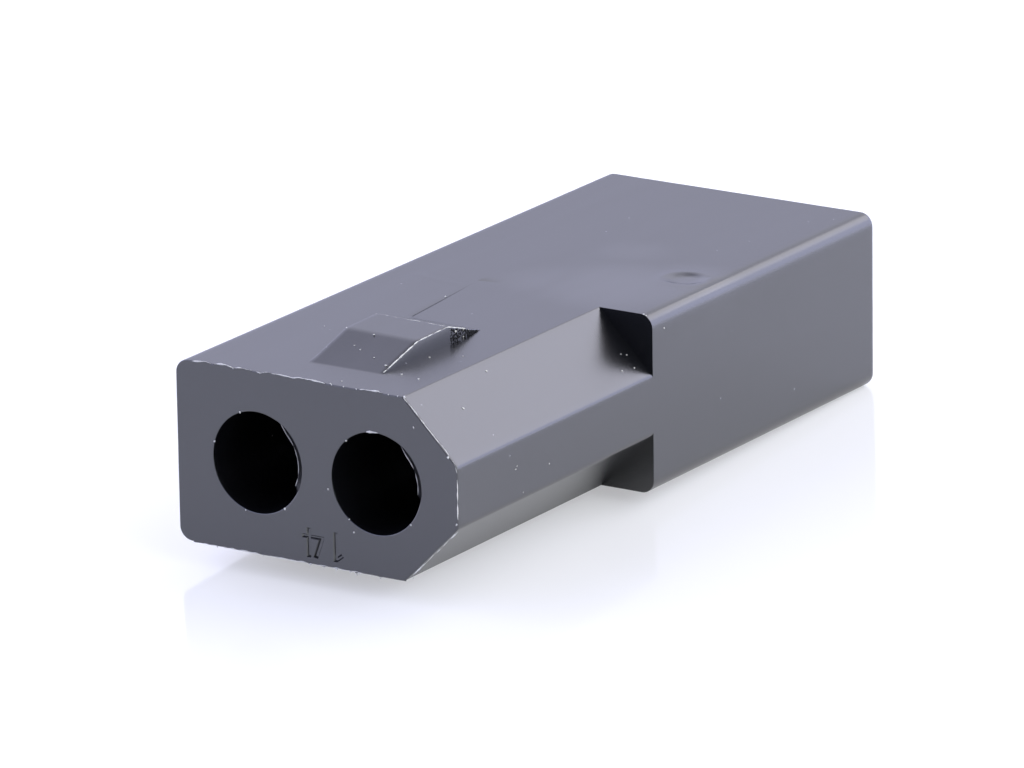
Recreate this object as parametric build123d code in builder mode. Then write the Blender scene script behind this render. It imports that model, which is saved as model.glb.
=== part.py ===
from build123d import *
import os

# Two-way pin-and-socket connector housing, moulded in one piece.
# Units are millimetres. +Y runs from the mating face to the wire face and +Z is up.
# The origin is at the middle of the housing's footprint, at the height of its lowest point.

# Body
body_width = 8.67
body_height = 4.92
body_length = 20.94           # mating face to wire face
corner_radius = 0.38          # long edges of the body
wire_edge_radius = 0.10       # outer edges of the wire face

# Polarising nose: the mating end, with two long edges cut off on one side
nose_length = 9.47            # mating face to the shoulders
key_chamfer = 1.64            # legs of the 45 degree cuts
key_edge_radius = 0.06        # long edges of the cuts on the top and underneath
key_side_radius = 0.18        # long edges of the cuts on the side

# Terminal cavities: a socket at the mating end, then a neck, then a bore for the wire
cavity_pitch = 3.68           # between the axes of the two cavities
socket_diameter = 2.73        # takes the mating contact and the tangs of the terminal
socket_depth = 7.30
neck_diameter = 2.24          # the tangs snap out in front of it
neck_length = 1.85
guide_ledge = 0.065           # flat ring around the chamfer that leads a terminal into the neck
wire_bore_web = 0.63          # wall between the two wire bores
wire_mouth_land = 0.19        # flat left between the chamfered mouths of the wire bores

# Latch ramps: one on the top and one underneath
ramp_width = 2.25
ramp_setback = 1.45           # mating face to the foot of the lead slope
ramp_lead = 1.735             # length of the lead slope
ramp_crest = 1.41             # length of the crest
ramp_tail = 1.55              # length of the rear slope
ramp_front_height = 0.49      # height at the front of the crest
ramp_back_height = 0.51       # height at the back of the crest

# Ejector mark on the top, beside the rounded edge of the key side
ejector_diameter = 1.20
ejector_depth = 0.04
ejector_land = 0.05           # flat left between the mark and the rounded edge
ejector_wire_distance = 8.05  # its centre to the wire face

# Sizes and places that follow from those above
wire_bore_diameter = cavity_pitch - wire_bore_web
wire_mouth_chamfer = (wire_bore_web - wire_mouth_land) / 2
guide_chamfer = (wire_bore_diameter - neck_diameter) / 2 - guide_ledge
wire_bore_depth = body_length - socket_depth - neck_length
mating_face = -body_length / 2
wire_face = body_length / 2
shoulder_face = mating_face + nose_length
neck_back = wire_face - wire_bore_depth
axis_height = ramp_back_height + body_height / 2
body_top = axis_height + body_height / 2
crest_start = ramp_setback + ramp_lead
crest_end = crest_start + ramp_crest
ejector_x = body_width / 2 - corner_radius - ejector_land - ejector_diameter / 2
ejector_y = wire_face - ejector_wire_distance


def facing_front(y):
    """A plane across the housing at y, centred between the cavities and seen from the mating end."""
    return Plane(origin=(0, y, axis_height), x_dir=(1, 0, 0), z_dir=(0, -1, 0))


def facing_back(y):
    """The same plane, facing the wire end."""
    return Plane(origin=(0, y, axis_height), x_dir=(1, 0, 0), z_dir=(0, 1, 0))


def rims(part, y, diameter):
    """The circular edges of one diameter that lie across the housing at y."""
    across = part.edges().filter_by(GeomType.CIRCLE).filter_by_position(Axis.Y, y - 0.01, y + 0.01)
    return across.filter_by(lambda edge: abs(2 * edge.radius - diameter) < 0.01)


with BuildPart() as housing:
    # Wire end: the full rectangle with rounded corners
    with BuildSketch(facing_front(wire_face)):
        RectangleRounded(body_width, body_height, corner_radius)
    extrude(amount=body_length - nose_length)
    fillet(housing.faces().sort_by(Axis.Y)[-1].edges(), wire_edge_radius)

    # Nose: cut at 45 degrees on the key side, rounded on the other
    with BuildSketch(facing_front(shoulder_face)) as nose:
        Rectangle(body_width, body_height)
        chamfer(nose.vertices().group_by(Axis.X)[-1], key_chamfer)
        key_side = nose.vertices().group_by(Axis.X)[-1]
        key_cuts = nose.vertices().group_by(Axis.X)[-2]
        fillet(key_side, key_side_radius)
        fillet(key_cuts, key_edge_radius)
        fillet(nose.vertices().group_by(Axis.X)[0], corner_radius)
    extrude(amount=nose_length)

    # Latch ramps: drawn from the side on the top, then mirrored to the underside
    with BuildSketch(Plane(origin=(0, mating_face, body_top), x_dir=(0, 1, 0), z_dir=(1, 0, 0))):
        with BuildLine():
            Polyline(
                (ramp_setback, 0),
                (crest_start, ramp_front_height),
                (crest_end, ramp_back_height),
                (crest_end + ramp_tail, 0),
                close=True,
            )
        make_face()
    top_ramp = extrude(amount=ramp_width / 2, both=True)
    mirror(top_ramp, about=Plane.XY.offset(axis_height))

    # Terminal cavities
    with Locations(facing_front(mating_face)):
        with GridLocations(cavity_pitch, 0, 2, 1):
            CounterBoreHole(neck_diameter / 2, socket_diameter / 2, socket_depth)
    with Locations(facing_back(wire_face)):
        with GridLocations(cavity_pitch, 0, 2, 1):
            Hole(wire_bore_diameter / 2, depth=wire_bore_depth)
    chamfer(rims(housing, neck_back, neck_diameter), guide_chamfer)
    chamfer(rims(housing, wire_face, wire_bore_diameter), wire_mouth_chamfer)

    # Ejector mark: a shallow disc pressed into the top
    with Locations((ejector_x, ejector_y, body_top)):
        Hole(ejector_diameter / 2, depth=ejector_depth)

housing.part.label = "housing"

os.makedirs("parts", exist_ok=True)
export_step(housing.part, "parts/housing.step")
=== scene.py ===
import math
import random

import bmesh
import bpy
from mathutils import Matrix, Vector, noise


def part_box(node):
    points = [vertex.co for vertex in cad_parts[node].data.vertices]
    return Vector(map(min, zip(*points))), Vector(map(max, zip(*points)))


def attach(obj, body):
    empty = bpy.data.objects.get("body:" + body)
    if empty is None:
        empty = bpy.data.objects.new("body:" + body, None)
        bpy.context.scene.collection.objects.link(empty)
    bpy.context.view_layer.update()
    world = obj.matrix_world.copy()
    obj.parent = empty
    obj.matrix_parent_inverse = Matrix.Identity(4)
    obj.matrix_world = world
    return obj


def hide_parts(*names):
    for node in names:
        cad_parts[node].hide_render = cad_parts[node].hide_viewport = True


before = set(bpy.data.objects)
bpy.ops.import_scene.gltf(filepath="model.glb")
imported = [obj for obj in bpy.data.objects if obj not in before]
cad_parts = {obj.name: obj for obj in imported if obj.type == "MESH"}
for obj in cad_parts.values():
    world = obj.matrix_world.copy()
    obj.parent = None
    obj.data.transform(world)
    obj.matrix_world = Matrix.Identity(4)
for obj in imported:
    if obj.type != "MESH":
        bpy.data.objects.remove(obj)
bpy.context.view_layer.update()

MM = 0.001

# The housing's sizes, in millimetres. Its box comes from the frame.
LOW, HIGH = (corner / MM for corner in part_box("housing"))
HALF_WIDTH = (HIGH.x - LOW.x) / 2
RAMP_FRONT_HEIGHT = 0.49
RAMP_BACK_HEIGHT = 0.51
AXIS_HEIGHT = (LOW.z + HIGH.z) / 2
HALF_HEIGHT = (HIGH.z - LOW.z) / 2 - RAMP_BACK_HEIGHT
TOP = AXIS_HEIGHT + HALF_HEIGHT
CORNER_RADIUS = 0.38
KEY_CHAMFER = 1.64
KEY_EDGE_RADIUS = 0.06
KEY_SIDE_RADIUS = 0.18
NOSE_LENGTH = 9.47
WIRE_EDGE_RADIUS = 0.10
HALF_PITCH = 1.84
SOCKET_RADIUS = 2.73 / 2
SOCKET_DEPTH = 7.30
NECK_RADIUS = 2.24 / 2
NECK_LENGTH = 1.85
GUIDE_LEDGE = 0.065
WIRE_BORE_RADIUS = 3.05 / 2
WIRE_MOUTH_CHAMFER = 0.22
RAMP_HALF_WIDTH = 2.25 / 2
RAMP_STOPS = (1.45, 3.185, 4.595, 6.145)    # foot, crest start, crest end and tail, from the mating face

# The flash stands this far out of the mating face
STAND_OUT = 0.03
MATING_FACE = LOW.y + STAND_OUT
WIRE_FACE = HIGH.y
SHOULDER = LOW.y + NOSE_LENGTH
RAMP_Y = [LOW.y + stop for stop in RAMP_STOPS]

# What the mould leaves: slightly broken edges, a worn ramp, an ejector mark and the print of an insert
FACE_EDGE = 0.02
RAMP_EDGE = 0.035
RAMP_BEND = 0.035                           # rounds the ramp where its slopes meet the crest
RAMP_LEAN = 0.035                           # how much lower the ramp's right side is than its left
RIM_EDGE = 0.02
EJECTOR_PLACE = Vector((3.28, 2.42))
EJECTOR_RADIUS = 0.56
EJECTOR_WALL = 0.13
EJECTOR_DEPTH = 0.048
EJECTOR_RIM = 0.018
EJECTOR_RIM_WIDTH = 0.22
INSERT_DEPTH = 0.022
INSERT_SLANT = 0.085                        # sideways for each millimetre along the housing
INSERT_WIDTH = 2.4
INSERT_BEND = -0.9                          # the edge runs straight along the housing from here on
INSERT_STEP = ((-0.08, 0.0), (0.0, 0.4), (0.001, 1.0))  # sideways places and shares of the depth
INSERT_ROOM = 12                            # points beside the edge that make room for it
INSERT_FADE = 3.4                           # the print thins out over this length, up to y = 0
CROSS_LINE_PLACE = (-1.3, -1.15)            # a point on the faint line across the top
CROSS_LINE_SLANT = -0.20
CROSS_LINE_START = -3.6
CROSS_LINE_HEIGHT = 0.004
CROSS_LINE_WIDTH = 0.12
WAVE_DEPTH = 0.006
RIPPLE_DEPTH = 0.003

# Lips of flash inside the socket mouths, by the angles in degrees where each begins and ends
LIP_DEPTH = 0.147
LIP_RISE = 0.175
LIP_ANGLES = {-HALF_PITCH: (-31, 72), HALF_PITCH: (-13, 72)}

# A plain number moulded into the mating face, upside down. Each digit is one outline about its middle.
DIGIT_ONE = [
    (0.02, -0.38), (0.10, -0.38), (0.10, 0.38), (0.03, 0.38), (-0.12, 0.24), (-0.08, 0.18), (0.02, 0.27),
]
DIGIT_FOUR = [
    (0.06, -0.38), (0.14, -0.38), (0.14, -0.20), (0.25, -0.20), (0.25, -0.13), (0.14, -0.13), (0.14, 0.38),
    (0.06, 0.38), (0.06, -0.13), (-0.17, -0.13), (-0.03, 0.36), (-0.11, 0.38), (-0.27, -0.15),
    (-0.27, -0.20), (0.06, -0.20),
]
DIGITS = ((DIGIT_ONE, (0.62, 1.06)), (DIGIT_FOUR, (-0.16, 1.06)))
DIGIT_WIDENING = 1.25
DIGIT_DEPTH = 0.055
DIGIT_RIM = 0.022                           # how far a stroke's rim lies outside its outline
DIGIT_FLOOR = 0.018                         # and its floor inside

# Flash that carries the mating face on past its upper edge, as (x, z) from its start to its end
FINS = [
    [(-3.82, 5.42), (-3.55, 5.45), (-3.36, 5.46), (-3.22, 5.43)],
    [(-3.12, 5.43), (-2.96, 5.46), (-2.81, 5.47), (-2.53, 5.43), (-2.29, 5.45), (-1.95, 5.44)],
    [(-1.80, 5.43), (-1.69, 5.41), (-1.55, 5.45), (-1.40, 5.47), (-1.23, 5.46), (-0.69, 5.44),
     (-0.42, 5.46), (-0.28, 5.47), (-0.07, 5.46), (0.20, 5.45), (0.34, 5.43)],
    [(1.38, 5.43), (1.50, 5.45), (1.63, 5.45), (1.96, 5.46), (2.08, 5.43)],
]
FIN_THICKNESS = 0.03
FIN_THREAD = 0.027                          # width of the white thread along its edge: whitened flash that also carries a painted highlight
FRAY = 0.014                                # how far a torn edge wanders

# Torn edges that have turned white and carry a painted highlight, as (x, z) on the mating face: the key cut
# and the side
WHITE_EDGES = [
    [(2.72, 5.42), (2.95, 5.21), (3.18, 4.99)],
    [(3.24, 4.92), (3.80, 4.37)],
    [(3.86, 4.34), (4.00, 4.19), (4.09, 4.08)],
    [(4.20, 3.95), (4.29, 3.82), (4.32, 3.65)],
    [(4.325, 3.47), (4.325, 2.95), (4.325, 2.40)],
    [(4.31, 2.08), (3.60, 1.37), (2.93, 0.70)],
    [(-3.60, 0.50), (-1.80, 0.50)],
    [(-1.50, 0.50), (0.30, 0.50)],
    [(0.42, 0.50), (1.70, 0.49)],
]
# Widths of the white threads. Those on the lips, the right mouth's rim and the ramp's edges are painted
# highlights.
WHITE_THREAD = 0.020
LIP_THREAD = 0.015
RIM_THREAD = 0.045
RIM_ANGLES = (101, 85)                      # where the right mouth's rim carries a painted highlight, in degrees
LEAD_THREAD = 0.021
CREST_THREAD = 0.017
BACK_THREAD = 0.018
WORN_HIGHLIGHT_FRAY = 0.004                           # how far a painted highlight along a worn edge wanders

# Burrs that hang from the lower edge of the mating face, as x, height and half width
BURRS = (
    (-3.16, 0.01, 0.06), (-1.72, 0.01, 0.08), (-0.25, 0.03, 0.07), (0.17, 0.02, 0.08), (0.57, 0.03, 0.06),
    (1.00, 0.02, 0.07), (1.18, 0.05, 0.06), (1.92, 0.02, 0.08),
)
BURR_LIP = 0.02
BURR_SPAN = (-3.90, 2.70)
BURR_STEP = 0.03

# Crumbs of nylon: on the mating face as (x, z, size), on the top and the key cut as (x, y, size),
# elsewhere as (x, y, z, size)
FACE_CRUMBS = (
    (-2.34, 4.25, 0.05), (-3.17, 3.34, 0.05), (-2.23, 1.63, 0.04), (-1.00, 1.85, 0.06), (0.94, 3.99, 0.04),
    (0.36, 2.60, 0.05), (1.13, 1.56, 0.05), (0.99, 1.89, 0.04), (2.89, 2.04, 0.05), (3.02, 4.67, 0.04),
    (4.06, 4.03, 0.06), (4.29, 2.27, 0.05), (2.76, 5.44, 0.07), (0.52, 5.43, 0.035), (0.89, 5.43, 0.03),
    (1.29, 5.43, 0.03), (2.27, 5.43, 0.03), (2.55, 5.43, 0.035), (-2.53, 5.41, 0.035), (2.93, 0.62, 0.05),
    (-0.25, 0.47, 0.05), (0.17, 0.46, 0.045), (0.57, 0.46, 0.05), (1.00, 0.47, 0.045), (1.18, 0.44, 0.07),
    (1.26, 0.46, 0.04), (1.92, 0.46, 0.05), (-1.72, 0.48, 0.04), (-3.16, 0.48, 0.035),
)
TOP_CRUMBS = (
    (2.18, -8.90, 0.045), (0.58, -10.06, 0.035), (0.44, -10.36, 0.035), (1.57, -8.77, 0.055),
    (1.36, -7.14, 0.05), (-1.36, -2.20, 0.045), (2.05, -6.60, 0.03), (-2.60, -6.10, 0.03),
)
RAMP_CRUMBS = (
    (0.99, -8.61, 5.54, 0.06), (0.46, -8.37, 5.61, 0.035), (-0.40, -7.98, 5.71, 0.04),
    (-0.12, -8.12, 5.67, 0.04), (-0.17, -7.41, 5.89, 0.045), (-0.83, -6.94, 5.90, 0.035),
    (-1.10, -7.28, 5.90, 0.04), (-1.09, -5.90, 5.92, 0.05), (4.06, -0.99, 5.42, 0.05),
    (4.12, -0.99, 5.40, 0.05),
)
SIDE_CRUMBS = (
    (1.125, -5.53, 5.68, 0.06), (1.125, -5.16, 5.63, 0.06), (1.125, -5.17, 5.45, 0.05),
    (1.125, -4.93, 5.57, 0.05), (4.325, -0.41, 4.94, 0.05), (4.325, -7.70, 3.02, 0.05),
    (4.325, -7.64, 3.09, 0.045), (4.325, -6.1, 2.74, 0.04), (4.325, -7.36, 2.30, 0.04),
)
KEY_CRUMBS = (
    (3.37, -8.65, 0.06), (2.91, -6.83, 0.05), (3.70, -1.56, 0.03), (3.76, -1.37, 0.03),
    (4.00, -1.99, 0.045), (4.05, -1.46, 0.035),
)
TORN_PATCH = (-5.80, -4.48)                 # where the ramp's right side is torn and painted darker, as shade
TORN_CRUMBS = 170

GRID = 0.10                                 # spacing of the points along the housing
RAMP_GRID = 0.045                           # and along the ramps
RING = 144                                  # points round a cavity
THREAD_STEP = 0.03
THREAD_SIDES = 8
THREAD_SEED = 7
CRUMB_HEIGHT = 0.55                         # of its width
SMOOTH_ANGLE = math.radians(32)
FLAT_FACE = 0.999                           # faces that lie this squarely across the housing stay flat
MERGE_DISTANCE = 0.0002
CLOSE = 1e-6                                # places nearer than this count as the same


# Materials

DUST_COLOR = (0.16, 0.16, 0.18)
# Glossier patches of the top, by middle and radius in millimetres and by how much less rough they are.
# Their colour also pales towards a painted sheen.
GLOSS_AND_PAINTED_SHEEN_PATCHES = (
    ((2.2, 0.9, 5.43), 2.8, 0.19), ((3.3, 2.3, 5.43), 1.9, 0.15), ((0.2, 0.5, 5.43), 1.8, 0.07),
    ((0.7, 4.0, 5.43), 1.4, 0.05),
)
PAINTED_SHEEN_COLOR = (0.06, 0.06, 0.07)             # the painted sheen: what the patches' colour fades towards, by the same amounts


def node_tree(name):
    """A new material with only an output node, and its tree."""
    material = bpy.data.materials.new(name)
    material.use_nodes = True
    tree = material.node_tree
    tree.nodes.clear()
    output = tree.nodes.new("ShaderNodeOutputMaterial")
    return material, tree, output


def noise_node(tree, vector, scale, detail=3.0, roughness=0.55):
    node = tree.nodes.new("ShaderNodeTexNoise")
    node.inputs["Scale"].default_value = scale
    node.inputs["Detail"].default_value = detail
    node.inputs["Roughness"].default_value = roughness
    tree.links.new(vector, node.inputs["Vector"])
    return node.outputs["Fac"]


def stretched(tree, vector, scale):
    node = tree.nodes.new("ShaderNodeMapping")
    node.inputs["Scale"].default_value = scale
    tree.links.new(vector, node.inputs["Vector"])
    return node.outputs["Vector"]


def map_range(tree, value, low, high):
    node = tree.nodes.new("ShaderNodeMapRange")
    node.inputs["To Min"].default_value = low
    node.inputs["To Max"].default_value = high
    tree.links.new(value, node.inputs["Value"])
    return node.outputs["Result"]


def blend_colors(tree, factor, dark, light):
    node = tree.nodes.new("ShaderNodeMix")
    node.data_type = "RGBA"
    node.inputs["A"].default_value = (*dark, 1)
    node.inputs["B"].default_value = (*light, 1)
    tree.links.new(factor, node.inputs["Factor"])
    return node.outputs["Result"]


def bumps(tree, height, strength, depth, before=None):
    node = tree.nodes.new("ShaderNodeBump")
    node.inputs["Strength"].default_value = strength
    node.inputs["Distance"].default_value = depth * MM
    tree.links.new(height, node.inputs["Height"])
    if before is not None:
        tree.links.new(before, node.inputs["Normal"])
    return node.outputs["Normal"]


def specks(tree, vector, spacing, size):
    """Small round spots scattered about the surface, spacing and size in millimetres."""
    node = tree.nodes.new("ShaderNodeTexVoronoi")
    node.inputs["Scale"].default_value = 1 / (spacing * MM)
    tree.links.new(vector, node.inputs["Vector"])
    spot = tree.nodes.new("ShaderNodeMapRange")
    spot.inputs["From Min"].default_value = 0.6 * size / spacing
    spot.inputs["From Max"].default_value = 0.4 * size / spacing
    tree.links.new(node.outputs["Distance"], spot.inputs["Value"])
    return spot.outputs["Result"]


def blend_over(tree, factor, below, color):
    node = tree.nodes.new("ShaderNodeMix")
    node.data_type = "RGBA"
    node.inputs["B"].default_value = (*color, 1)
    tree.links.new(below, node.inputs["A"])
    tree.links.new(factor, node.inputs["Factor"])
    return node.outputs["Result"]


def gloss_and_painted_sheen(tree, vector):
    """How much glossier the surface is, and how much its colour pales into a painted sheen: most at the
    middle of each patch, fading to nothing at its rim.
    """
    ragged = noise_node(tree, stretched(tree, vector, (1.0, 0.5, 1.0)), 900.0, detail=4.0)
    total = None
    for center, radius, strength in GLOSS_AND_PAINTED_SHEEN_PATCHES:
        away = tree.nodes.new("ShaderNodeVectorMath")
        away.operation = "DISTANCE"
        away.inputs[1].default_value = Vector(center) * MM
        tree.links.new(vector, away.inputs[0])
        spot = tree.nodes.new("ShaderNodeMapRange")
        spot.interpolation_type = "SMOOTHSTEP"
        spot.inputs["From Min"].default_value = radius * MM
        spot.inputs["From Max"].default_value = 0.1 * radius * MM
        spot.inputs["To Max"].default_value = strength
        tree.links.new(away.outputs["Value"], spot.inputs["Value"])
        if total is None:
            total = spot.outputs["Result"]
            continue
        most = tree.nodes.new("ShaderNodeMath")
        most.operation = "MAXIMUM"
        tree.links.new(total, most.inputs[0])
        tree.links.new(spot.outputs["Result"], most.inputs[1])
        total = most.outputs["Value"]
    patchy = tree.nodes.new("ShaderNodeMath")
    patchy.operation = "MULTIPLY"
    tree.links.new(total, patchy.inputs[0])
    tree.links.new(map_range(tree, ragged, 0.4, 1.6), patchy.inputs[1])
    return patchy.outputs["Value"]


def nylon(name, dark, light, rough, specular=1.0):
    """Moulded nylon: semi-gloss, with a fine grain, a faint flow, glossier patches with a painted sheen and
    some dust.
    """
    material, tree, output = node_tree(name)
    links = tree.links
    shader = tree.nodes.new("ShaderNodeBsdfPrincipled")
    place = tree.nodes.new("ShaderNodeTexCoord").outputs["Object"]
    grain = noise_node(tree, place, 14000.0)
    pores = noise_node(tree, place, 2600.0, detail=2.0)
    flow = noise_node(tree, stretched(tree, place, (1.0, 0.18, 1.0)), 900.0, detail=4.0)
    moulded = blend_colors(tree, flow, dark, light)
    gloss_and_painted_sheen_amount = gloss_and_painted_sheen(tree, place)
    # Painted sheen: the glossier patches also pale the base colour.
    sheen_painted_base = blend_over(tree, gloss_and_painted_sheen_amount, moulded, PAINTED_SHEEN_COLOR)
    dusty = blend_over(tree, specks(tree, place, 0.9, 0.05), sheen_painted_base, DUST_COLOR)
    links.new(dusty, shader.inputs["Base Color"])
    roughness = tree.nodes.new("ShaderNodeMath")
    roughness.operation = "SUBTRACT"
    links.new(map_range(tree, flow, rough - 0.015, rough + 0.015), roughness.inputs[0])
    links.new(gloss_and_painted_sheen_amount, roughness.inputs[1])
    links.new(roughness.outputs["Value"], shader.inputs["Roughness"])
    shader.inputs["Specular IOR Level"].default_value = specular
    coarse = bumps(tree, pores, 0.12, 0.006)
    links.new(bumps(tree, grain, 0.35, 0.004, coarse), shader.inputs["Normal"])
    links.new(shader.outputs["BSDF"], output.inputs["Surface"])
    return material


# How bright the ground is by itself, seen directly and in gloss; the glow in gloss is darkened by painted
# shade near the housing
GLOW_SEEN = 0.43
GLOW_MIRRORED = 0.43


def ground():
    """White acrylic: it keeps the shadow and a faint mirror image, and is white where nothing shades it.
    The glow it shows in gloss fades by painted shade under and beside the housing.
    """
    material, tree, output = node_tree("white_ground")
    links = tree.links
    shader = tree.nodes.new("ShaderNodeBsdfPrincipled")
    place = tree.nodes.new("ShaderNodeTexCoord").outputs["Object"]
    haze = noise_node(tree, place, 40.0)
    shader.inputs["Base Color"].default_value = (0.60, 0.60, 0.60, 1)
    shader.inputs["Specular IOR Level"].default_value = 0.22
    links.new(map_range(tree, haze, 0.07, 0.10), shader.inputs["Roughness"])
    glow = tree.nodes.new("ShaderNodeEmission")
    glow.inputs["Color"].default_value = (0.97, 0.97, 1.0, 1)
    path = tree.nodes.new("ShaderNodeLightPath")
    mirrored = tree.nodes.new("ShaderNodeMath")
    mirrored.operation = "MULTIPLY"
    links.new(path.outputs["Is Glossy Ray"], mirrored.inputs[0])
    # Painted shade: ambient occlusion darkens the glow that gloss sees under and beside the housing.
    painted_shade_ao = tree.nodes.new("ShaderNodeAmbientOcclusion")
    painted_shade_ao.samples = 4
    painted_shade_ao.inputs["Distance"].default_value = 0.005
    lit = tree.nodes.new("ShaderNodeMapRange")
    lit.inputs["From Min"].default_value = 0.03
    lit.inputs["From Max"].default_value = 0.14
    lit.inputs["To Max"].default_value = GLOW_MIRRORED
    links.new(painted_shade_ao.outputs["AO"], lit.inputs["Value"])
    links.new(lit.outputs["Result"], mirrored.inputs[1])
    strength = tree.nodes.new("ShaderNodeMath")
    strength.operation = "MULTIPLY_ADD"
    strength.inputs[1].default_value = GLOW_SEEN
    links.new(path.outputs["Is Camera Ray"], strength.inputs[0])
    links.new(mirrored.outputs["Value"], strength.inputs[2])
    links.new(strength.outputs["Value"], glow.inputs["Strength"])
    total = tree.nodes.new("ShaderNodeAddShader")
    links.new(shader.outputs["BSDF"], total.inputs[0])
    links.new(glow.outputs["Emission"], total.inputs[1])
    links.new(total.outputs["Shader"], output.inputs["Surface"])
    return material


# Outlines across the housing, as (x, z) about the middle of the body

def straight(start, end, steps):
    """Points from start up to, but not including, end."""
    return [
        (start[0] + (end[0] - start[0]) * i / steps, start[1] + (end[1] - start[1]) * i / steps)
        for i in range(steps)
    ]


def round_corner(center, radius, start, end, steps):
    """Points on an arc, by angles in degrees, up to but not including its end."""
    angles = [math.radians(start + (end - start) * i / steps) for i in range(steps)]
    return [(center[0] + radius * math.cos(a), center[1] + radius * math.sin(a)) for a in angles]


# Steps along each run of an outline
SIDE_STEPS = 16
CORNER_STEPS = 8
TOP_STEPS = 26
RAMP_STEPS = 20
TOP_KEY_STEPS = 16
KEY_STEPS = 22
KEY_SIDE_STEPS = 10
KEY_ARC_STEPS = 4
EDGE_STEPS = 4                              # round the edges of the two end faces
RAMP_START = SIDE_STEPS + CORNER_STEPS + TOP_STEPS      # index of the point at the ramp's left side
KEY_START = RAMP_START + RAMP_STEPS + TOP_KEY_STEPS     # index where the key cut leaves the top
HALF_OUTLINE = KEY_START + KEY_STEPS + KEY_SIDE_STEPS


def outline(nose, inset=0.0):
    """The whole outline, clockwise from the middle of the plain side, of the nose or of the wire end."""
    w, h = HALF_WIDTH - inset, HALF_HEIGHT - inset
    r = CORNER_RADIUS - inset
    k = KEY_EDGE_RADIUS - inset if nose else KEY_EDGE_RADIUS
    s = KEY_SIDE_RADIUS - inset if nose else KEY_SIDE_RADIUS
    half_turn = math.tan(math.radians(22.5))
    shift = inset * (math.sqrt(2) - 1) if nose else 0.0
    key_x = HALF_WIDTH - KEY_CHAMFER - shift
    key_z = HALF_HEIGHT - KEY_CHAMFER - shift
    start, end = (key_x - k * half_turn, h), (w, key_z - s * half_turn)
    upper = straight((-w, 0), (-w, h - r), SIDE_STEPS)
    upper += round_corner((-w + r, h - r), r, 180, 90, CORNER_STEPS)
    upper += straight((-w + r, h), (-RAMP_HALF_WIDTH, h), TOP_STEPS)
    upper += straight((-RAMP_HALF_WIDTH, h), (RAMP_HALF_WIDTH, h), RAMP_STEPS)
    upper += straight((RAMP_HALF_WIDTH, h), start, TOP_KEY_STEPS)
    if nose:
        first, second = (start[0], h - k), (w - s, end[1])
        first_out, second_out = k * math.sqrt(0.5), s * math.sqrt(0.5)
        upper += round_corner(first, k, 90, 45, KEY_ARC_STEPS)
        upper += straight(
            (first[0] + first_out, first[1] + first_out), (second[0] + second_out, second[1] + second_out),
            KEY_STEPS - 2 * KEY_ARC_STEPS,
        )
        upper += round_corner(second, s, 45, 0, KEY_ARC_STEPS)
    else:
        run = (KEY_STEPS - CORNER_STEPS) // 2
        upper += straight(start, (w - r, h), run)
        upper += round_corner((w - r, h - r), r, 90, 0, CORNER_STEPS)
        upper += straight((w, h - r), end, run)
    upper += straight(end, (w, 0), KEY_SIDE_STEPS)
    upper.append((w, 0))
    lower = [(x, -z) for x, z in reversed(upper[1:-1])]
    return upper + lower


def outward(points, i):
    """The outward direction of a clockwise outline at its point i."""
    before, after = points[i - 1], points[(i + 1) % len(points)]
    along = Vector((after[0] - before[0], after[1] - before[1])).normalized()
    return Vector((-along.y, along.x))


def stops(values, spacing=GRID):
    """The given places with evenly spaced ones between them."""
    places = []
    for a, b in zip(values, values[1:]):
        steps = max(1, round((b - a) / spacing))
        places += [a + (b - a) * i / steps for i in range(steps)]
    return places + [values[-1]]


def smooth_step(t):
    t = min(max(t, 0.0), 1.0)
    return t * t * (3 - 2 * t)


def insert_edge(y):
    """Where the left edge of the insert's print runs on the top, behind the ramp."""
    return -RAMP_HALF_WIDTH - INSERT_SLANT * (min(y, INSERT_BEND) - RAMP_Y[3])


def insert_depth(y):
    """How deep the print is: it fades towards the wire end."""
    if y <= RAMP_Y[3]:
        return 0.0
    return INSERT_DEPTH * (1 - smooth_step((y + INSERT_FADE) / INSERT_FADE))


def top_marks(x, y):
    """How far the top lies below its true face: ejector mark, insert's print and a faint cross line."""
    away = (Vector((x, y)) - EJECTOR_PLACE).length
    depth = EJECTOR_DEPTH * smooth_step((EJECTOR_RADIUS - away) / EJECTOR_WALL)
    depth -= EJECTOR_RIM * math.exp(-((away - EJECTOR_RADIUS - 0.06) / EJECTOR_RIM_WIDTH) ** 2)
    past = x - insert_edge(y)
    if past > 0:
        depth += insert_depth(y) * (1 - smooth_step(past / INSERT_WIDTH))
    if x < insert_edge(y):
        line = CROSS_LINE_PLACE[1] + CROSS_LINE_SLANT * (x - CROSS_LINE_PLACE[0])
        height = CROSS_LINE_HEIGHT * smooth_step((x - CROSS_LINE_START) / 0.8)
        depth -= height * math.exp(-((y - line) / CROSS_LINE_WIDTH) ** 2)
    return depth


def sink(x, y, z, up):
    """How far the skin lies inside its true face: slow waves along the housing, and the top's marks."""
    waves = 0.5 + 0.5 * noise.noise(Vector((x * 0.9, y * 0.16, z * 0.9 + 7.3)))
    ripples = 0.5 + 0.5 * noise.noise(Vector((x * 2.3 + 3.1, y * 0.30, z * 2.3)))
    depth = WAVE_DEPTH * waves + RIPPLE_DEPTH * ripples
    if up:
        depth += top_marks(x, y)
    return depth


def print_step(i, x, y):
    """Moves points of the top onto the edge of the insert's print. Gives place and share of depth."""
    step = i - RAMP_START
    if not -INSERT_ROOM < step < len(INSERT_STEP) or y <= RAMP_Y[3]:
        return x, None
    sideways, share = INSERT_STEP[max(step, 0)]
    near = smooth_step((y - RAMP_Y[3]) / 0.15)
    if step < 0:
        first = insert_edge(y) + sideways + RAMP_HALF_WIDTH
        return x + first * near * (1 + step / INSERT_ROOM), None
    return x + (insert_edge(y) + sideways - x) * near, share * near


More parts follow.
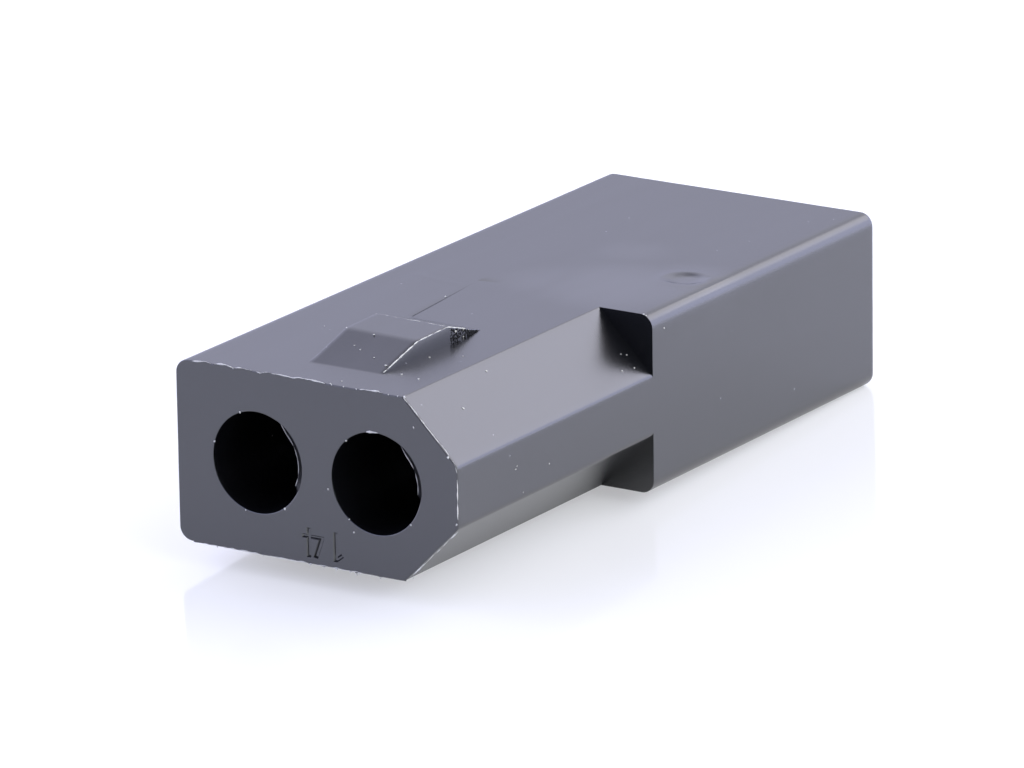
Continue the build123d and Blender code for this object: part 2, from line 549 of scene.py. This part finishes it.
def skin_row(mesh, y, points):
    """One row of the skin's points at y, each moved in from the true outline."""
    row = []
    for i, (x, z) in enumerate(points):
        way = outward(points, i)
        up = way.y > 0.99
        x, share = print_step(i, x, y) if up else (x, None)
        depth = sink(x, y, z, up and share is None)
        if share is not None:
            depth += share * insert_depth(y)
        row.append(mesh.verts.new((x - way.x * depth, y, AXIS_HEIGHT + z - way.y * depth)))
    return row


def bridge(mesh, row, following, keep=lambda i: True):
    """Faces between two rows of points that go round."""
    count = len(row)
    for i in range(count):
        j = (i + 1) % count
        if keep(i):
            mesh.faces.new((row[i], row[j], following[j], following[i]))


def on_ramp(i):
    """Whether the outline's edge i lies under the upper or the lower ramp."""
    upper = RAMP_START <= i < RAMP_START + RAMP_STEPS
    mirrored = 2 * HALF_OUTLINE - 1 - i
    return upper or RAMP_START <= mirrored < RAMP_START + RAMP_STEPS


def on_key(i):
    """Whether the outline's edge i belongs to one of the two key cuts."""
    mirrored = 2 * HALF_OUTLINE - 1 - i
    return KEY_START <= i < KEY_START + KEY_STEPS or KEY_START <= mirrored < KEY_START + KEY_STEPS


def fill(mesh, loops):
    """Fills the plane between an outer loop of points and the loops of its holes."""
    edges = []
    for loop in loops:
        for i, vert in enumerate(loop):
            pair = (vert, loop[(i + 1) % len(loop)])
            edges.append(mesh.edges.get(pair) or mesh.edges.new(pair))
    bmesh.ops.triangle_fill(mesh, edges=edges, use_beauty=True)


def lip_share(turn, angles):
    """How much of the flash lip stands at an angle round a mouth: it is torn off at its lower end."""
    degrees = (math.degrees(turn) + 180) % 360 - 180
    return smooth_step((degrees - angles[0]) / 6) * smooth_step((angles[1] - degrees) / 30)


def cavity(mesh, x):
    """The wall of one cavity, from the mating face to the wire face. Gives its first and its last ring."""
    neck = LOW.y + SOCKET_DEPTH
    guide = neck + NECK_LENGTH
    guide_rise = WIRE_BORE_RADIUS - NECK_RADIUS - GUIDE_LEDGE
    lip_slope = (LIP_RISE + 1.5 * RIM_EDGE) / LIP_DEPTH
    profile = [
        (MATING_FACE, SOCKET_RADIUS + RIM_EDGE, 0.5 * RIM_EDGE),
        (MATING_FACE + 0.3 * RIM_EDGE, SOCKET_RADIUS + 0.3 * RIM_EDGE, (1.2 - 0.3 * lip_slope) * RIM_EDGE),
        (MATING_FACE + RIM_EDGE, SOCKET_RADIUS, (1.5 - lip_slope) * RIM_EDGE),
        (MATING_FACE + LIP_DEPTH, SOCKET_RADIUS, -LIP_RISE),
        (MATING_FACE + 1.2 * LIP_DEPTH, SOCKET_RADIUS, -0.9 * LIP_RISE),
        (MATING_FACE + 2.0 * LIP_DEPTH, SOCKET_RADIUS, 0.0),
    ]
    profile += [(y, SOCKET_RADIUS, 0.0) for y in stops([MATING_FACE + 3.0 * LIP_DEPTH, neck], 0.5)]
    profile += [(neck, NECK_RADIUS, 0.0), (guide - guide_rise, NECK_RADIUS, 0.0)]
    profile += [(guide, NECK_RADIUS + guide_rise, 0.0)]
    profile += [(y, WIRE_BORE_RADIUS, 0.0) for y in stops([guide, WIRE_FACE - WIRE_MOUTH_CHAMFER], 0.5)]
    profile += [(WIRE_FACE, WIRE_BORE_RADIUS + WIRE_MOUTH_CHAMFER, 0.0)]
    turns = [2 * math.pi * i / RING for i in range(RING)]
    rings = []
    for y, radius, lip in profile:
        ring = []
        for turn in turns:
            r = radius + lip * lip_share(turn, LIP_ANGLES[x])
            ring.append(mesh.verts.new((x + r * math.cos(turn), y, AXIS_HEIGHT + r * math.sin(turn))))
        rings.append(ring)
    for ring, following in zip(rings, rings[1:]):
        bridge(mesh, ring, following)
    return rings[0], rings[-1]


def drawn_in(points, distance):
    """An anticlockwise outline drawn in by a distance."""
    drawn = []
    for before, point, after in zip(points[-1:] + points[:-1], points, points[1:] + points[:1]):
        a, b = (point - before).normalized(), (after - point).normalized()
        normals = Vector((-a.y, a.x)) + Vector((-b.y, b.x))
        drawn.append(point + normals * (distance / (1 + a.dot(b))))
    return drawn


def sunk_digit(mesh, digit, place):
    """One digit cut into the mating face, upside down. Gives its outline there."""
    strokes = [Vector((place[0] - DIGIT_WIDENING * x, place[1] - z)) for x, z in digit]
    rim = [mesh.verts.new((x, MATING_FACE, z)) for x, z in drawn_in(strokes, -DIGIT_RIM)]
    floor = [mesh.verts.new((x, MATING_FACE + DIGIT_DEPTH, z)) for x, z in drawn_in(strokes, DIGIT_FLOOR)]
    bridge(mesh, rim, floor)
    fill(mesh, [floor])
    return rim


def soft_least(a, b, bend):
    """The lesser of two heights, rounded where they cross."""
    return min(a, b) - max(bend - abs(a - b), 0.0) ** 2 / (4 * bend)


def ramp_height(y):
    foot, crest, back, tail = RAMP_Y
    lead = RAMP_FRONT_HEIGHT * (y - foot) / (crest - foot)
    flat = RAMP_FRONT_HEIGHT + (RAMP_BACK_HEIGHT - RAMP_FRONT_HEIGHT) * (y - crest) / (back - crest)
    rear = RAMP_BACK_HEIGHT * (tail - y) / (tail - back)
    return max(soft_least(soft_least(lead, flat, RAMP_BEND), rear, 0.6 * RAMP_BEND), 0.0)


def ramp_point(x, y, side, drop=0.0):
    """A point on a ramp's outer face at x and y, drawn in by drop. side is 1 on top and -1 underneath."""
    height = ramp_height(y)
    lean = RAMP_LEAN * (x / RAMP_HALF_WIDTH + 1) / 2 * min(height / RAMP_BACK_HEIGHT, 1.0)
    depth = sink(x, y, side * HALF_HEIGHT, False)
    return Vector((x, y, AXIS_HEIGHT + side * (HALF_HEIGHT + height - lean - depth - drop)))


def ramp(mesh, side, rows):
    """A latch ramp over the gap in the skin, with its long edges broken."""
    edge_turns = (30, 60)
    previous = None
    for y in rows:
        height = ramp_height(y)
        e = min(RAMP_EDGE, 0.4 * height)
        flat = RAMP_HALF_WIDTH - e
        left = [(-RAMP_HALF_WIDTH, e)]
        left += [
            (-flat - e * math.cos(math.radians(a)), e - e * math.sin(math.radians(a))) for a in edge_turns
        ]
        middle = [(-flat + 2 * flat * i / RAMP_STEPS, 0.0) for i in range(RAMP_STEPS + 1)]
        section = left + middle + [(-x, drop) for x, drop in reversed(left)]
        line = [mesh.verts.new(ramp_point(x, y, side, drop)) for x, drop in section]
        feet = []
        for x in (-RAMP_HALF_WIDTH, RAMP_HALF_WIDTH):
            depth = sink(x, y, side * HALF_HEIGHT, side > 0)
            feet.append(mesh.verts.new((x, y, AXIS_HEIGHT + side * (HALF_HEIGHT - depth))))
        line = [feet[0]] + line + [feet[1]]
        if previous is not None:
            for i in range(len(line) - 1):
                mesh.faces.new((previous[i], previous[i + 1], line[i + 1], line[i]))
        previous = line


def skin_mesh():
    """The whole surface of the housing as one closed mesh."""
    mesh = bmesh.new()
    turns = [math.radians(90 * i / EDGE_STEPS) for i in range(EDGE_STEPS + 1)]
    nose_rows = []
    for turn in turns:
        y = MATING_FACE + FACE_EDGE * (1 - math.cos(turn))
        nose_rows.append(skin_row(mesh, y, outline(True, FACE_EDGE * (1 - math.sin(turn)))))
    nose_places = stops([MATING_FACE + FACE_EDGE, RAMP_Y[0]])[:-1] + stops(RAMP_Y, RAMP_GRID)[:-1]
    nose_places += stops([RAMP_Y[-1], SHOULDER])
    nose_rows += [skin_row(mesh, y, outline(True)) for y in nose_places[1:]]
    nose_places = [None] * (len(turns) - 1) + nose_places
    for row, following, y in zip(nose_rows, nose_rows[1:], nose_places):
        under_ramp = y is not None and RAMP_Y[0] - CLOSE <= y < RAMP_Y[-1] - CLOSE
        bridge(mesh, row, following, (lambda i: not on_ramp(i)) if under_ramp else (lambda i: True))
    ramp_rows = [y for y in nose_places if y is not None and RAMP_Y[0] - CLOSE <= y <= RAMP_Y[-1] + CLOSE]
    for side in (1, -1):
        ramp(mesh, side, ramp_rows)

    wire_places = stops([SHOULDER, WIRE_FACE - WIRE_EDGE_RADIUS])
    wire_rows = [skin_row(mesh, y, outline(False)) for y in wire_places]
    for turn in turns[1:]:
        y = WIRE_FACE - WIRE_EDGE_RADIUS * (1 - math.sin(turn))
        wire_rows.append(skin_row(mesh, y, outline(False, WIRE_EDGE_RADIUS * (1 - math.cos(turn)))))
    for row, following in zip(wire_rows, wire_rows[1:]):
        bridge(mesh, row, following)
    bridge(mesh, nose_rows[-1], wire_rows[0], on_key)

    cavities = [cavity(mesh, x) for x in LIP_ANGLES]
    digits = [sunk_digit(mesh, digit, place) for digit, place in DIGITS]
    fill(mesh, [nose_rows[0]] + [first for first, last in cavities] + digits)
    fill(mesh, [wire_rows[-1]] + [last for first, last in cavities])
    bmesh.ops.remove_doubles(mesh, verts=mesh.verts, dist=MERGE_DISTANCE)
    bmesh.ops.recalc_face_normals(mesh, faces=mesh.faces)
    return mesh


def finish_mesh(mesh, name):
    """Brings a mesh drawn in millimetres to metres, smooth but for its sharp edges."""
    mesh.transform(Matrix.Scale(MM, 4))
    for face in mesh.faces:
        face.smooth = abs(face.normal.y) < FLAT_FACE
    for edge in mesh.edges:
        edge.smooth = len(edge.link_faces) == 2 and edge.calc_face_angle(0) < SMOOTH_ANGLE
    data = bpy.data.meshes.new(name)
    mesh.to_mesh(data)
    mesh.free()
    return data


def new_piece(name, data, material):
    piece = bpy.data.objects.new(name, data)
    bpy.context.scene.collection.objects.link(piece)
    piece.data.materials.append(material)
    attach(piece, "root")
    return piece


def build_skin(material):
    mesh = skin_mesh()
    open_edges = sum(1 for edge in mesh.edges if len(edge.link_faces) != 2)
    print("housing_skin faces", len(mesh.faces), "open edges", open_edges)
    piece = new_piece("housing_skin", finish_mesh(mesh, "housing_skin"), material)
    weighted = piece.modifiers.new("weighted", "WEIGHTED_NORMAL")
    weighted.keep_sharp = True
    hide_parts("housing")


# Flash, torn edges and crumbs, drawn in millimetres

def resampled(points, step):
    """Points at even steps along the straight runs through the given ones."""
    line = []
    for a, b in zip(points, points[1:]):
        count = max(1, round((b - a).length / step))
        line += [a.lerp(b, i / count) for i in range(count)]
    return line + [points[-1]]


def keep_inside(mesh):
    """Holds every point within the housing's own box."""
    for vert in mesh.verts:
        vert.co.x = min(vert.co.x, HIGH.x)
        vert.co.y = max(vert.co.y, LOW.y)
        vert.co.z = min(vert.co.z, HIGH.z)


def thread(mesh, points, across, width, seed, fray=FRAY):
    """A thin uneven string along the points, tapered at its ends. across is square to all of it."""
    across = Vector(across)
    line = []
    for point in resampled(points, THREAD_STEP):
        wander = noise.noise_vector(point * 5 + Vector((0, seed, 0))) * fray
        line.append(point + wander - wander.dot(across) * across)
    rings = []
    for i, point in enumerate(line):
        along = (line[min(i + 1, len(line) - 1)] - line[max(i - 1, 0)]).normalized()
        other = along.cross(across).normalized()
        taper = min(1.0, 0.25 + 0.25 * min(i, len(line) - 1 - i))
        radius = 0.5 * width * taper * max(0.12, 0.9 + 1.6 * noise.noise(point * 6 + Vector((seed, 0, 0))))
        turns = [2 * math.pi * k / THREAD_SIDES for k in range(THREAD_SIDES)]
        rings.append([
            mesh.verts.new(point + radius * (math.cos(t) * across + math.sin(t) * other)) for t in turns
        ])
    for ring, following in zip(rings, rings[1:]):
        bridge(mesh, ring, following)
    mesh.faces.new(rings[0])
    mesh.faces.new(rings[-1])


def fin(mesh, points, base):
    """A thin strip that stands on the mating face's edge at height base and reaches to the points."""
    line = resampled([Vector((x, 0, z)) for x, z in points], 2 * THREAD_STEP)
    previous = None
    for point in line:
        reach = point.z - base
        foot = base - math.copysign(0.03, reach)
        section = [
            mesh.verts.new((point.x, MATING_FACE - 0.001, foot)),
            mesh.verts.new((point.x, MATING_FACE - 0.001, base + reach)),
            mesh.verts.new((point.x, MATING_FACE + 0.5 * FIN_THICKNESS, base + reach)),
            mesh.verts.new((point.x, MATING_FACE + 1.5 * FIN_THICKNESS, foot)),
        ]
        if previous is not None:
            bridge(mesh, previous, section)
        else:
            mesh.faces.new(section)
        previous = section
    mesh.faces.new(previous)


def crumb(mesh, place, size, up, seed):
    """A rough flat grain, half sunk in a surface that faces up."""
    place, up = Vector(place), Vector(up)
    middle = Matrix.Translation(place)
    made = bmesh.ops.create_icosphere(mesh, subdivisions=2, radius=size / 2, matrix=middle)
    for vert in made["verts"]:
        out = vert.co - place
        out *= 1.0 + 0.8 * noise.noise(out.normalized() * 1.3 + Vector((seed, seed * 0.37, 0)))
        vert.co = place + out - (1 - CRUMB_HEIGHT) * out.dot(up) * up


def closed_piece(mesh, name, material):
    keep_inside(mesh)
    bmesh.ops.recalc_face_normals(mesh, faces=mesh.faces)
    return new_piece(name, finish_mesh(mesh, name), material)


def round_mouth(x, radius, turn, depth):
    """A point round the axis of the cavity at x, this deep behind the mating face."""
    sideways, up = radius * math.cos(turn), radius * math.sin(turn)
    return Vector((x + sideways, MATING_FACE + depth, AXIS_HEIGHT + up))


def lip_ridge(x):
    """Points along the inner edge of the flash lip in the socket mouth at x."""
    first, last = LIP_ANGLES[x]
    points = []
    for degrees in range(first + 4, last - 4, 3):
        turn = math.radians(degrees)
        r = SOCKET_RADIUS - LIP_RISE * lip_share(turn, LIP_ANGLES[x])
        points.append(round_mouth(x, r, turn, LIP_DEPTH))
    return points


def build_fins(material):
    """Flash on the upper edge of the mating face, and a ragged lip of burrs on the lower edge."""
    mesh = bmesh.new()
    for points in FINS:
        fin(mesh, [(x, max(z, TOP + 0.005)) for x, z in points], TOP)
    bottom = AXIS_HEIGHT - HALF_HEIGHT
    first, last = BURR_SPAN
    places = [first + i * BURR_STEP for i in range(round((last - first) / BURR_STEP) + 1)]
    ragged = []
    for x in places:
        burr = sum(height * max(0.0, 1 - abs(x - at) / half) for at, height, half in BURRS)
        ragged.append((x, bottom - BURR_LIP * (0.75 + 0.5 * noise.noise(Vector((x * 4, 0, 0)))) - burr))
    fin(mesh, ragged, bottom)
    closed_piece(mesh, "flash_fins", material)


def build_white_edges_and_painted_highlights(material):
    """White threads on the torn edges of the flash, which have turned white and carry a painted highlight,
    and painted highlights on the ramp's edges and on the socket mouths' lips and rim.
    """
    noise.seed_set(THREAD_SEED)
    mesh = bmesh.new()
    seed = 1
    for points in FINS:
        thread(mesh, [Vector((x, MATING_FACE, z)) for x, z in points], (0, 1, 0), FIN_THREAD, seed)
        seed += 1
    for points in WHITE_EDGES:
        thread(mesh, [Vector((x, MATING_FACE, z)) for x, z in points], (0, 1, 0), WHITE_THREAD, seed)
        seed += 1
    # Painted highlights along the lips in the socket mouths.
    for x in LIP_ANGLES:
        thread(mesh, lip_ridge(x), (0, 1, 0), LIP_THREAD, seed, WORN_HIGHLIGHT_FRAY)
        seed += 1
    # A painted highlight on the right mouth's upper rim.
    rim_turns = [math.radians(degrees) for degrees in range(*RIM_ANGLES, -3)]
    rim = [round_mouth(HALF_PITCH, SOCKET_RADIUS + 0.5 * RIM_EDGE, turn, 0) for turn in rim_turns]
    thread(mesh, rim, (0, 1, 0), RIM_THREAD, seed)
    # Painted highlights along the ramp's worn edges, and across the crest's back edge.
    lead = stops([RAMP_Y[0] + 0.06, RAMP_Y[1] + 0.10], 0.1)
    crest = stops([RAMP_Y[1] + 0.06, RAMP_Y[2], RAMP_Y[3] - 0.7], 0.1)
    for rows, width in ((lead, LEAD_THREAD), (crest, CREST_THREAD)):
        seed += 1
        ramp_painted_highlight = [ramp_point(RAMP_HALF_WIDTH - 0.012, y, 1, 0.010) for y in rows]
        thread(mesh, ramp_painted_highlight, (1, 0, 0), width, seed, WORN_HIGHLIGHT_FRAY)
    ends = [-RAMP_HALF_WIDTH + 0.06, RAMP_HALF_WIDTH - 0.06]
    ramp_painted_highlight = [ramp_point(x, RAMP_Y[2] + 0.01, 1, 0.008) for x in stops(ends, 0.1)]
    thread(mesh, ramp_painted_highlight, (0, 1, 0), BACK_THREAD, seed + 1, WORN_HIGHLIGHT_FRAY)
    closed_piece(mesh, "white_edges_and_painted_highlights", material)


def build_crumbs(light, dark):
    mesh = bmesh.new()
    key = (math.sqrt(0.5), 0, math.sqrt(0.5))
    key_sum = HALF_WIDTH - KEY_CHAMFER + TOP
    places = [((x, MATING_FACE, z), size, (0, -1, 0)) for x, z, size in FACE_CRUMBS]
    places += [((x, y, TOP), size, (0, 0, 1)) for x, y, size in TOP_CRUMBS]
    places += [((x, y, z), size, (0, 0, 1)) for x, y, z, size in RAMP_CRUMBS]
    places += [((x, y, z), size, (1, 0, 0)) for x, y, z, size in SIDE_CRUMBS]
    places += [((x, y, key_sum - x), size, key) for x, y, size in KEY_CRUMBS]
    for i, (place, size, up) in enumerate(places):
        crumb(mesh, place, size, up, i)
    closed_piece(mesh, "crumbs", light)
    # Painted shade: the torn patch's crumbs take a darker, less shiny nylon than the housing.
    rough = bmesh.new()
    chance = random.Random(7)
    for i in range(TORN_CRUMBS):
        y = TORN_PATCH[0] + (TORN_PATCH[1] - TORN_PATCH[0]) * chance.random()
        z = TOP + (ramp_height(y) - RAMP_LEAN - 0.02) * (0.05 + 0.9 * chance.random())
        crumb(rough, (RAMP_HALF_WIDTH, y, z), 0.03 + 0.035 * chance.random(), (1, 0, 0), 50 + i)
    closed_piece(rough, "torn_patch_painted_shade", dark)


# Ground, light and camera

GROUND_HALF_SIZE = 6.0                      # in metres


def build_ground():
    """A wide sheet that touches the crest of the lower ramp and the lower edge of the wire face."""
    rise = math.atan2(RAMP_BACK_HEIGHT, WIRE_FACE - RAMP_Y[2])
    half = GROUND_HALF_SIZE
    mesh = bpy.data.meshes.new("ground")
    corners = [(-half, -half, 0), (half, -half, 0), (half, half, 0), (-half, half, 0)]
    mesh.from_pydata(corners, [], [(0, 1, 2, 3)])
    sheet = bpy.data.objects.new("ground", mesh)
    bpy.context.scene.collection.objects.link(sheet)
    touch = Vector((0, RAMP_Y[2], LOW.z)) * MM
    sheet.matrix_world = Matrix.Translation(touch) @ Matrix.Rotation(rise, 4, "X")
    sheet.data.materials.append(ground())


def softbox(name, direction, distance, size, color):
    """A square lamp that faces the housing from one direction, given by how bright it looks."""
    lamp = bpy.data.lights.new(name, "AREA")
    lamp.shape = "SQUARE"
    lamp.size = size
    lamp.color = [channel / max(color) for channel in color]
    lamp.energy = max(color) * math.pi * size * size
    holder = bpy.data.objects.new(name, lamp)
    bpy.context.scene.collection.objects.link(holder)
    way = Vector(direction).normalized()
    turn = way.to_track_quat("Z", "Y").to_matrix().to_4x4()
    holder.matrix_world = Matrix.Translation(way * distance) @ turn


# The white tent around the housing, as soft patches of light: direction, sharpness and colour
TENT = {
    "back_left": ((-0.545, 0.838, 0.20), 5, (0.31, 0.32, 0.45)),
    "back": ((-0.25, 0.80, 0.52), 16, (1.02, 1.02, 1.12)),
    "back_right": ((0.42, 0.86, 0.18), 8, (2.40, 2.50, 3.55)),
    "left": ((-0.95, 0.05, 0.25), 5, (3.93, 4.02, 5.40)),
    "right": ((0.95, 0.05, 0.25), 5, (4.40, 4.60, 4.84)),
    "front_left": ((-0.50, -0.80, 0.30), 8, (1.70, 1.85, 2.80)),
}


def build_tent():
    world = bpy.data.worlds.new("tent")
    world.use_nodes = True
    bpy.context.scene.world = world
    tree = world.node_tree
    links = tree.links
    place = tree.nodes.new("ShaderNodeTexCoord").outputs["Generated"]
    total = None
    for direction, sharpness, color in TENT.values():
        facing = tree.nodes.new("ShaderNodeVectorMath")
        facing.operation = "DOT_PRODUCT"
        facing.inputs[1].default_value = Vector(direction).normalized()
        links.new(place, facing.inputs[0])
        front = tree.nodes.new("ShaderNodeMath")
        front.operation = "MAXIMUM"
        front.inputs[1].default_value = 0.0
        links.new(facing.outputs["Value"], front.inputs[0])
        patch = tree.nodes.new("ShaderNodeMath")
        patch.operation = "POWER"
        patch.inputs[1].default_value = sharpness
        links.new(front.outputs["Value"], patch.inputs[0])
        lit = tree.nodes.new("ShaderNodeVectorMath")
        lit.operation = "SCALE"
        lit.inputs[0].default_value = color
        links.new(patch.outputs["Value"], lit.inputs["Scale"])
        if total is None:
            total = lit.outputs["Vector"]
            continue
        both = tree.nodes.new("ShaderNodeVectorMath")
        both.operation = "ADD"
        links.new(total, both.inputs[0])
        links.new(lit.outputs["Vector"], both.inputs[1])
        total = both.outputs["Vector"]
    links.new(total, tree.nodes["Background"].inputs["Color"])


def build_light():
    build_tent()
    softbox("softbox_back_right", (0.27, 0.67, 0.69), 0.6, 0.44, (1.88, 1.82, 1.78))


# The camera, from points of the photograph matched to the housing
FRAME_WIDTH = 1024
FOCAL_PIXELS = 8811.7
SENSOR_WIDTH = 36.0
CAMERA_PLACE = Vector((121.685, -189.169, 70.431))
CAMERA_TURN = Vector((1.81016, 0.52021, -0.40623))


def build_camera():
    camera = bpy.data.cameras.new("camera")
    camera.sensor_width = SENSOR_WIDTH
    camera.sensor_fit = "HORIZONTAL"
    camera.lens = FOCAL_PIXELS * SENSOR_WIDTH / FRAME_WIDTH
    camera.clip_start = 0.01
    camera.clip_end = 10
    holder = bpy.data.objects.new("camera", camera)
    bpy.context.scene.collection.objects.link(holder)
    turn = Matrix.Rotation(CAMERA_TURN.length, 3, CAMERA_TURN.normalized())
    right, down, ahead = turn[0], turn[1], turn[2]
    axes = Matrix((right, -down, -ahead)).transposed().to_4x4()
    holder.matrix_world = Matrix.Translation(CAMERA_PLACE * MM) @ axes
    bpy.context.scene.camera = holder


bpy.context.scene.view_settings.view_transform = "Standard"
build_camera()
build_light()
build_ground()
black = nylon("black_nylon", (0.0025, 0.0027, 0.004), (0.0045, 0.0047, 0.006), 0.262)
# Whitened nylon for the crumbs and the torn flash, and for the painted highlights along edges.
whitened_and_painted_highlight = nylon("whitened_nylon_and_painted_highlight", (0.52, 0.51, 0.47), (0.82, 0.81, 0.76), 0.5, specular=0.5)
# Painted shade: a darker, less shiny nylon for the torn patch.
torn_and_painted_shade = nylon("torn_nylon_painted_shade", (0.0015, 0.0015, 0.002), (0.003, 0.003, 0.004), 0.6, specular=0.2)
build_skin(black)
build_fins(black)
build_white_edges_and_painted_highlights(whitened_and_painted_highlight)
build_crumbs(whitened_and_painted_highlight, torn_and_painted_shade)
